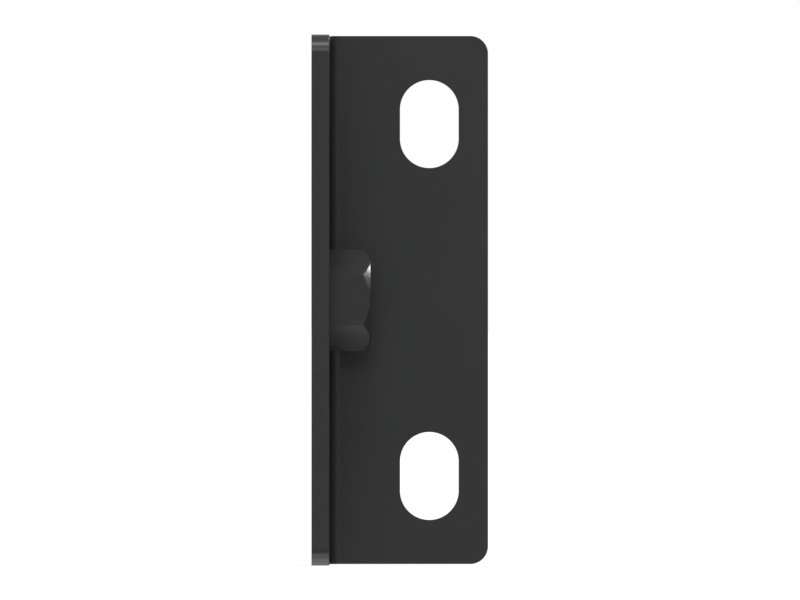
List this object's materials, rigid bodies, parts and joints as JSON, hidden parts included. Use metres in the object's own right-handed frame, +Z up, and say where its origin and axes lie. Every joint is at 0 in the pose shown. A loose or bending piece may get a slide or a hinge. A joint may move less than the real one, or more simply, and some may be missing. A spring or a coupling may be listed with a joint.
{
  "type": "door chain guard bracket",
  "caption": "Black folded steel angle bracket with upright slots in the leg that screws to the door, and a hexagon weld nut on the inner face of its side leg.",
  "frame": {"origin": "midway between the two slots, on the back face of the slotted leg that lies on the door", "axes": "+Z up along the bracket's length, +Y into the door, the side leg standing towards -Y at the -X end"},
  "size_m": [0.03, 0.03, 0.09],
  "materials": {
    "bracket_coat": "black powder coat, satin",
    "nut_coat": "black powder coat, satin, thinner over the nut's corners",
    "weld_steel": "fused steel, bare, sealed between the nut and the leg"
  },
  "bodies": {
    "root": {"angle_bracket": "bracket_coat", "weld_nut": "nut_coat", "projection_welds": "weld_steel"}
  },
  "joints": []
}
